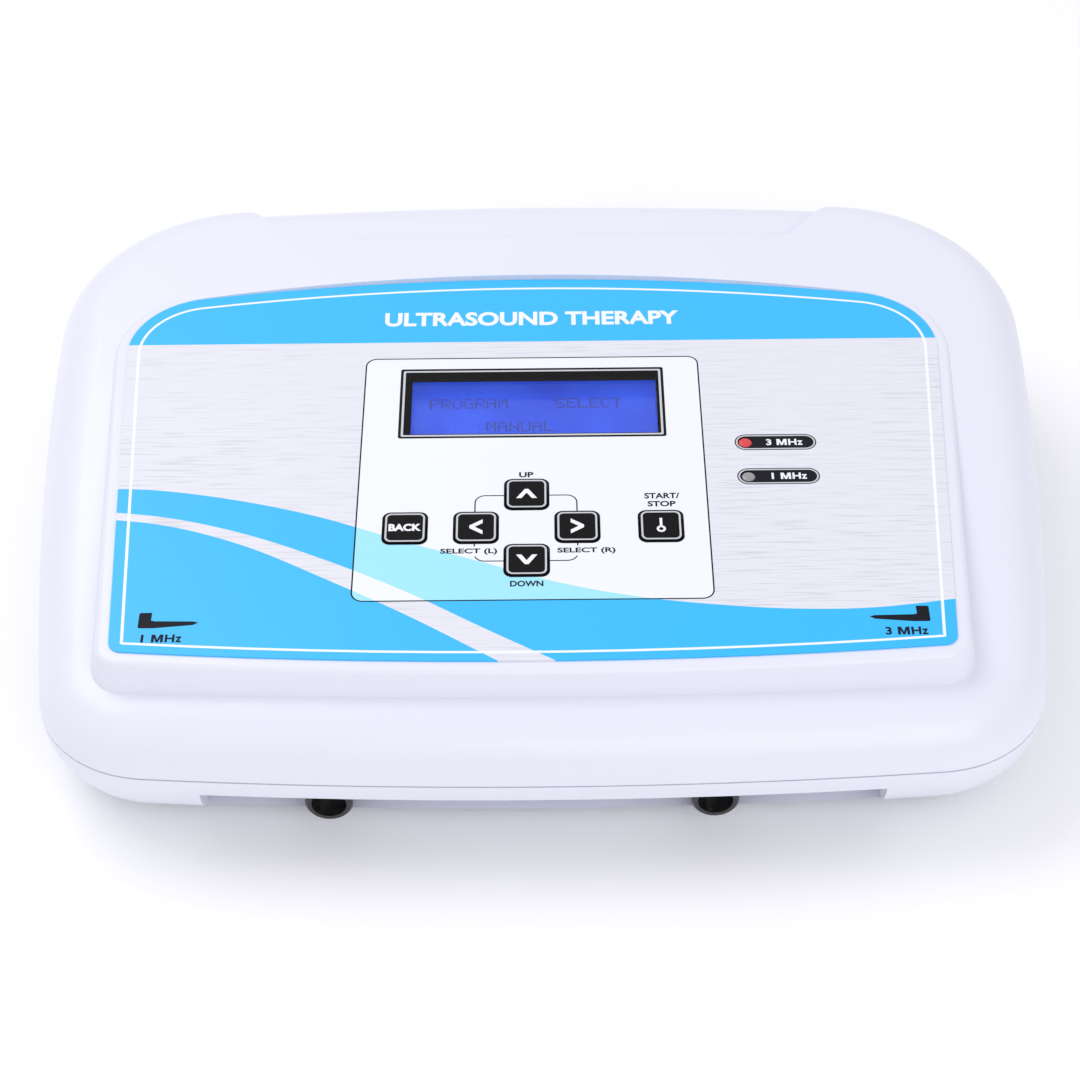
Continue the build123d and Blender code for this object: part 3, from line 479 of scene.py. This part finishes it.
def printed(name, shapes, material, low, high, place, body):
    """One piece of thin raised print from several flat shapes."""
    parts = [slab(flat, faces, [0] * len(faces), low, high) for flat, faces in shapes]
    points, faces, picks = join(parts)
    return new_piece(name, [place @ (Vector(p) * MM) for p in points], faces, [material], picks, body)


# ---------------------------------------------------------------- printed film
LINE_INSET = (2.8, 3.3, 4.2)  # at the front, the sides and the back
LINE_WIDTH = 0.85
TITLE_BAND = 60.6
WAVE = ((-134, -5.0), (-112, -6.1), (-87, -10.9), (-62.7, -18.2), (-38.6, -28.2), (-15, -37.2), (8, -46.0),
        (31, -51.9), (54, -55.3), (76, -57.1), (99, -56.7), (128, -52.6))
RIBBON_TOP = ((-134, -14.3), (-108.5, -17.7), (-84.3, -25.0), (-60.1, -36.0), (-36.5, -48.9), (-13.4, -63.8),
              (12, -79.6))
RIBBON_LOW = ((-134, -17.2), (-108.2, -21.1), (-83.9, -30.0), (-59.8, -43.6), (-36.2, -58.0), (-13.3, -73.6),
              (-4, -80.0))
KEYPAD_HALF = (52.2, 52.9)
KEYPAD_R = 3.6
KEYPAD_LINE = 0.45
KEY_RIM = 0.28
KEY_RIM_R = 2.6
KEY_HOLE_HALF = (6, 7)  # the keys' holes are told apart by their half width
DISPLAY_CENTRE = (0, 31.7)
DISPLAY_RIM_HALF = (41.0, 16.0)
LINK_CENTRE = (-1.9, -23.35)
LINK_HALF = (15.1, 13.65)
LINK_LINE = 0.4
LINK_R = 3.0
LINK_GAP = (-35.1, -31.0)
PILLS = ((73.9, 12.6), (73.8, -2.4))
PILL_HALF = (12.4, 3.5)
HEAD = (108.9, -56.4, 112.5, -62.4)  # head of the applicator icon: left, top, right, bottom
HANDLE_TIP = (95.4, -60.4)
MIRROR = -0.6  # the left icon is the right one mirrored, a little further out


def applicator(side):
    """Icon of a probe: a square head with a tapered handle, on the right or mirrored on the left."""
    left, top, right, bottom = HEAD
    tip_x, tip_y = HANDLE_TIP
    outline = [(left, top), (right - 0.4, top), (right, top - 0.4), (right, bottom + 0.4),
               (right - 0.4, bottom), (left - 1, bottom), (tip_x + 1.5, tip_y - 0.9), (tip_x, tip_y),
               (tip_x + 1.5, tip_y + 0.5), (left - 1, bottom + 2.7), (left, bottom + 3.0)]
    if side < 0:
        outline = [(-x - MIRROR, y) for x, y in outline]
        return outline[::-1]
    return outline


def make_film():
    loops = cad_loops("control_overlay", FILM)
    outline = loops[0]
    area = sum(x0 * y1 - x1 * y0 for (x0, y0), (x1, y1) in zip(outline, [*outline[1:], outline[0]]))
    if area < 0:
        outline = outline[::-1]
    line_out = shrunk(outline, *LINE_INSET)
    line_in = shrunk(outline, *(inset + LINE_WIDTH for inset in LINE_INSET))
    wave, upper, lower = (smooth_line(points) for points in (WAVE, RIBBON_TOP, RIBBON_LOW))
    keypad = rounded((0, 0), *KEYPAD_HALF, KEYPAD_R)
    keypad_in = rounded((0, 0), *(h - KEYPAD_LINE for h in KEYPAD_HALF), KEYPAD_R - KEYPAD_LINE)
    display_rim = rounded(DISPLAY_CENTRE, *DISPLAY_RIM_HALF, 0.8)
    link_out, link_in = (
        rounded(LINK_CENTRE, *(h + way * LINK_LINE / 2 for h in LINK_HALF), LINK_R + way * LINK_LINE / 2)
        for way in (1, -1)
    )
    gap = [rounded((x, sum(LINK_GAP) / 2), 1.0, (LINK_GAP[1] - LINK_GAP[0]) / 2, 0.01, 1)
           for x in (LINK_CENTRE[0] - LINK_HALF[0], LINK_CENTRE[0] + LINK_HALF[0])]
    pills = [[rounded(c, *(h - inset for h in PILL_HALF), PILL_HALF[1] - inset, 12) for c in PILLS]
             for inset in (0, 0.35, 0.85)]
    holes = loops[1:]
    rims = []
    for hole in holes:
        middle = (np.max(hole, axis=0) + np.min(hole, axis=0)) / 2
        half = np.ptp(np.array(hole), axis=0) / 2
        if KEY_HOLE_HALF[0] < half[0] < KEY_HOLE_HALF[1]:
            rims.append(rounded(middle, *(half + KEY_RIM), KEY_RIM_R))
    icons = [applicator(side) for side in (-1, 1)]
    flat, faces, middles = divide(
        [outline, *holes, line_out, line_in, keypad, keypad_in, display_rim, link_out, link_in, *gap,
         *pills[0], *pills[1], *pills[2], *rims, *icons],
        [wave, upper, lower, [(-140, TITLE_BAND), (140, TITLE_BAND)]],
    )
    materials = [film_brushed, film_cyan, film_line, film_panel, film_pale, film_ink, film_silver]
    brushed, cyan, line, white, pale, ink, silver = range(len(materials))

    def above(curve):
        curve = np.array(curve)
        return middles[:, 1] > np.interp(middles[:, 0], curve[:, 0], curve[:, 1])

    picks = np.full(len(faces), brushed)
    below_wave = ~above(wave)
    ribbon = ~above(upper) & above(lower)
    picks[below_wave & ~ribbon] = cyan
    picks[middles[:, 1] > TITLE_BAND] = cyan
    picks[inside(line_out, middles) & ~inside(line_in, middles)] = line
    picks[inside(keypad, middles)] = ink
    in_keypad = inside(keypad_in, middles)
    picks[in_keypad] = white
    picks[in_keypad & below_wave & ~ribbon] = pale
    in_gap = inside(gap[0], middles) | inside(gap[1], middles)
    picks[inside(link_out, middles) & ~inside(link_in, middles) & ~in_gap] = ink
    picks[inside(display_rim, middles)] = ink
    for shapes, pick in ((rims, ink), (icons, ink), (pills[0], ink), (pills[1], silver), (pills[2], ink)):
        for shape in shapes:
            picks[inside(shape, middles)] = pick
    wanted = inside(outline, middles)
    for hole in holes:
        wanted &= ~inside(hole, middles)
    picks = picks[wanted].tolist()
    flat, faces = keep(flat, faces, wanted)
    points, faces, picks = slab(flat, faces, picks, 0, FILM)
    new_piece("overlay_print", [panel_frame @ (Vector(p) * MM) for p in points], faces, materials, picks,
              "case", ["control_overlay"])


PRINT_LOW = FILM - 0.02
PRINT_HIGH = FILM + 0.03


def make_words():
    white = [
        lettering("ULTRASOUND THERAPY", (0, 71.9), 94.0, 6.8, 0.034),
        *megahertz("3", (76.4, 12.55), 11.4, 2.7, 0.03),
        *megahertz("1", (76.6, -2.35), 11.4, 2.7, 0.03),
    ]
    dark = [
        lettering("UP", (-1.8, -0.8), 4.3, 2.3, 0.03),
        lettering("DOWN", (-1.7, -46.2), 9.6, 2.3, 0.03),
        lettering("SELECT (L)", (-18.6, -33.1), 16.6, 2.6, 0.026),
        lettering("SELECT (R)", (15.7, -33.1), 16.9, 2.6, 0.026),
        lettering("START/", (38.5, -10.4), 10.4, 2.4, 0.026),
        lettering("STOP", (38.3, -13.8), 8.3, 2.3, 0.03),
        *megahertz("1", (-105.2, -66.4), 12.4, 3.0, 0.03),
        *megahertz("3", (105.2, -66.0), 12.4, 3.0, 0.03),
    ]
    printed("words_white", white, print_white, PRINT_LOW, PRINT_HIGH, panel_frame, "case")
    printed("words_dark", dark, print_dark, PRINT_LOW, PRINT_HIGH, panel_frame, "case")


# ---------------------------------------------------------------- keys
KEY_HALF = 6.2
KEY_CORNER = 2.1
KEY_TOP = 0.9
KEY_SKIRT = -2.7
KEY_RINGS = (  # inset from the side, height, material of the band up to this ring
    (0.0, KEY_SKIRT, 0), (0.0, 0.62, 0), (0.08, 0.78, 0), (0.24, 0.87, 0), (0.34, KEY_TOP, 0),
    (0.90, KEY_TOP, 1),
)
STEM_R = 1.7
START_BAR = [(-0.4, -0.4), (0.4, -0.4), (0.4, 3.0), (-0.4, 3.0)]
START_RING = (0, -1.5)
START_RING_R = (1.35, 0.65)  # outer and inner


def capped(rings, cap_pick, bottom_pick=0):
    """Closed solid through rings of equal length from bottom to top: (outline, height, pick)."""
    count = len(rings[0][0])
    points = [(x, y, height) for outline, height, _ in rings for x, y in outline]
    faces = [tuple(reversed(range(count)))]
    picks = [bottom_pick]
    for level, (_, _, pick) in enumerate(rings[1:]):
        low = level * count
        for i in range(count):
            j = (i + 1) % count
            faces.append((low + i, low + j, low + count + j, low + count + i))
            picks.append(pick)
    faces.append(tuple(range(len(points) - count, len(points))))
    picks.append(cap_pick)
    return points, faces, picks


def chevron(turn):
    """Arrow stroke pointing up, turned anticlockwise by quarter turns."""
    half, rise, stroke = 3.1, 3.9, 1.55
    shape = [(-half, -rise / 2), (-half + stroke, -rise / 2), (0, rise / 2 - stroke),
             (half - stroke, -rise / 2), (half, -rise / 2), (0.55, rise / 2), (-0.55, rise / 2)]
    c, s = round(cos(turn * pi / 2)), round(sin(turn * pi / 2))
    return [(x * c - y * s, x * s + y * c) for x, y in shape]


def moved(shape, centre):
    flat, faces = shape
    return [(x + centre[0], y + centre[1]) for x, y in flat], faces


def make_keys():
    stem_low = min(to_panel(v.co).z for v in nodes["key_up"].data.vertices)
    for name in ("back", "left", "up", "down", "right", "start"):
        spots = np.array([to_panel(v.co)[:2] for v in nodes[f"key_{name}"].data.vertices])
        centre = tuple((spots.max(axis=0) + spots.min(axis=0)) / 2)
        rings = [(rounded(centre, KEY_HALF - inset, KEY_HALF - inset, KEY_CORNER - inset * 0.8), height, pick)
                 for inset, height, pick in KEY_RINGS]
        stem = [(circle(centre, STEM_R, 24), height, 0) for height in (stem_low, KEY_SKIRT)]
        points, faces, picks = join([capped(rings, 0), capped(stem, 0)])
        new_piece(f"keycap_{name}", [panel_frame @ (Vector(p) * MM) for p in points], faces,
                  [slot_materials["key_black"], film_silver], picks, f"key_{name}",
                  [f"key_{name}"])
        if name == "back":
            shapes = [lettering("BACK", centre, 9.6, 3.0, 0.045)]
        elif name == "start":
            ring = filled(circle(START_RING, START_RING_R[0]), [circle(START_RING, START_RING_R[1])])
            shapes = [moved(filled(START_BAR), centre), moved(ring, centre)]
        else:
            turn = {"up": 0, "left": 1, "down": 2, "right": 3}[name]
            shapes = [moved(filled(chevron(turn)), centre)]
        printed(f"mark_{name}", shapes, print_white, KEY_TOP - 0.02, KEY_TOP + 0.04, panel_frame,
                f"key_{name}")


# ---------------------------------------------------------------- display and lamps
FONT = {  # rows of five dots, top row first
    "A": "0E11111F111111", "C": "0E11101010110E", "E": "1F10101E10101F", "G": "0E11101711110F",
    "L": "1010101010101F", "M": "111B1515111111", "N": "11111915131111", "O": "0E11111111110E",
    "P": "1E11111E101010", "R": "1E11111E141211", "S": "0F10100E01011E", "T": "1F040404040404",
    "U": "1111111111110E",
}
CHAR_PITCH = 3.55
ROW_PITCH = 5.35
DOT_PITCH = (0.60, 0.66)
DOT = 0.52
DISPLAY_COLUMNS = 20
VIEW = ((-37.3, 17.5), (38.8, 42.9))  # corners of the clear part of the window; the black above its top edge is partly printed border and partly painted shade of the recess wall
DISPLAY_TEXT = ((1, 1, "PROGRAM    SELECT"), (3, 6, "MANUAL"))  # row, first column, words


def make_display():
    glass = np.array([to_panel(v.co) for v in nodes["display_glass"].data.vertices])
    centre = (glass.max(axis=0) + glass.min(axis=0)) / 2
    top = glass[:, 2].max()
    dots = []
    for row, column, words in DISPLAY_TEXT:
        for place, letter in enumerate(words):
            if letter == " ":
                continue
            left = centre[0] + (column + place - DISPLAY_COLUMNS / 2) * CHAR_PITCH
            high = centre[1] + (1.5 - row) * ROW_PITCH + 3 * DOT_PITCH[1]
            for line in range(7):
                bits = int(FONT[letter][2 * line: 2 * line + 2], 16)
                for dot in range(5):
                    if bits >> (4 - dot) & 1:
                        x = left + (dot + 0.5) * DOT_PITCH[0]
                        y = high - line * DOT_PITCH[1]
                        square = [(x - DOT / 2, y - DOT / 2), (x + DOT / 2, y - DOT / 2),
                                  (x + DOT / 2, y + DOT / 2), (x - DOT / 2, y + DOT / 2)]
                        dots.append((square, [(0, 1, 2, 3)]))
    printed("display_characters", dots, dot_dark, top - 0.01, top + 0.03, panel_frame, "case")

    window = np.array([to_panel(v.co) for v in nodes["display_window"].data.vertices])
    middle = (window.max(axis=0) + window.min(axis=0)) / 2
    half = np.ptp(window, axis=0) / 2
    outline = rounded(middle[:2], half[0], half[1], 0.6)
    silver_out = rounded(middle[:2], half[0] - 0.3, half[1] - 0.3, 0.5)
    silver_in = rounded(middle[:2], half[0] - 1.0, half[1] - 1.0, 0.4)
    view_low, view_high = np.array(VIEW)
    view = rounded((view_low + view_high) / 2, *((view_high - view_low) / 2), 0.2)
    flat, faces, middles = divide([outline, silver_out, silver_in, view])
    wanted = inside(outline, middles)
    # black border print by default; its wider band above the clear part is painted shade of the recess wall under
    # the window's top edge
    picks = np.zeros(len(faces), int)
    picks[inside(silver_out, middles)] = 1
    picks[inside(silver_in, middles)] = 0
    picks[inside(view, middles)] = 2
    picks = picks[wanted].tolist()
    flat, faces = keep(flat, faces, wanted)
    points, faces, picks = slab(flat, faces, picks, window[:, 2].min(), window[:, 2].max())
    new_piece("display_front", [panel_frame @ (Vector(p) * MM) for p in points], faces,
              [slot_materials["bezel_black"], film_silver, slot_materials["window_clear"]], picks,
              "case", ["display_window"])


LAMP_PROFILE = ((2.5, -8.2), (2.5, -7.2), (2.0, -7.1), (2.0, 0.25), (1.9, 0.42), (1.6, 0.56), (1.1, 0.65),
                (0.5, 0.7))  # radius and height


def make_lamps():
    for node in ("led_3mhz", "led_1mhz"):
        spots = np.array([to_panel(v.co)[:2] for v in nodes[node].data.vertices])
        centre = (spots.max(axis=0) + spots.min(axis=0)) / 2
        rings = [(circle(centre, radius, 48), height, 0) for radius, height in LAMP_PROFILE]
        points, faces, picks = capped(rings, 0)
        slot = "lamp_red" if node == "led_3mhz" else "lamp_clear"
        piece = new_piece(f"lens_{node}", [panel_frame @ (Vector(p) * MM) for p in points], faces,
                          [slot_materials[slot]], picks, "case", [node])
        piece.data.polygons.foreach_set("use_smooth", [True] * len(faces))


make_film()
make_words()
make_keys()
make_display()
make_lamps()

# ---------------------------------------------------------------- camera and light
ELEVATION = radians(42.0)
YAW = radians(0.2461)
ROLL = radians(-0.7047)
EYE = Vector((2.04, -600.1, 549.0)) * MM
FOCAL_SHARE = 2.3281  # focal length over the picture's width
FLOOR_HALF = 6
LIGHT_SIZE = (1.2, 0.8)
LIGHT_TARGET = (0, 0, 0.03)
LIGHTS = {  # place in metres, power in watts
    "key_light": ((-0.7, 0.5, 1.3), 7.5),
    "front_light": ((0.5, -1.1, 0.9), 5.0),
}
SKY_COLOR = (0.95, 0.95, 1.0, 1)
SKY_STRENGTH = 0.78


def add_camera():
    backward = Vector((sin(YAW) * cos(ELEVATION), -cos(YAW) * cos(ELEVATION), sin(ELEVATION)))
    right = Vector((0, 0, 1)).cross(backward).normalized()
    up = backward.cross(right)
    turned_right = cos(ROLL) * right + sin(ROLL) * up
    turned_up = cos(ROLL) * up - sin(ROLL) * right
    data = bpy.data.cameras.new("camera")
    data.sensor_width = 36
    data.lens = FOCAL_SHARE * data.sensor_width
    camera = bpy.data.objects.new("camera", data)
    scene.collection.objects.link(camera)
    camera.matrix_world = plane_frame(EYE, turned_right, turned_up, backward)
    scene.camera = camera


def add_floor():
    mesh = bpy.data.meshes.new("floor")
    corners = [(x * FLOOR_HALF, y * FLOOR_HALF, 0) for x, y in ((-1, -1), (1, -1), (1, 1), (-1, 1))]
    mesh.from_pydata(corners, [], [(0, 1, 2, 3)])
    floor = bpy.data.objects.new("floor", mesh)
    scene.collection.objects.link(floor)
    mesh.materials.append(surface("floor_white", (0.97, 0.97, 0.97), 0.8, shade=0.01))


def add_area(name, place, power):
    data = bpy.data.lights.new(name, "AREA")
    data.shape = "RECTANGLE"
    data.size, data.size_y = LIGHT_SIZE
    data.energy = power
    light = bpy.data.objects.new(name, data)
    scene.collection.objects.link(light)
    light.location = place
    light.rotation_euler = (Vector(LIGHT_TARGET) - Vector(place)).to_track_quat("-Z", "Y").to_euler()


def add_light():
    world = bpy.data.worlds.new("world")
    scene.world = world
    world.use_nodes = True
    background = world.node_tree.nodes["Background"]
    background.inputs["Color"].default_value = SKY_COLOR
    background.inputs["Strength"].default_value = SKY_STRENGTH
    for name, (place, power) in LIGHTS.items():
        add_area(name, place, power)
    scene.view_settings.view_transform = "Standard"


add_camera()
add_floor()
add_light()
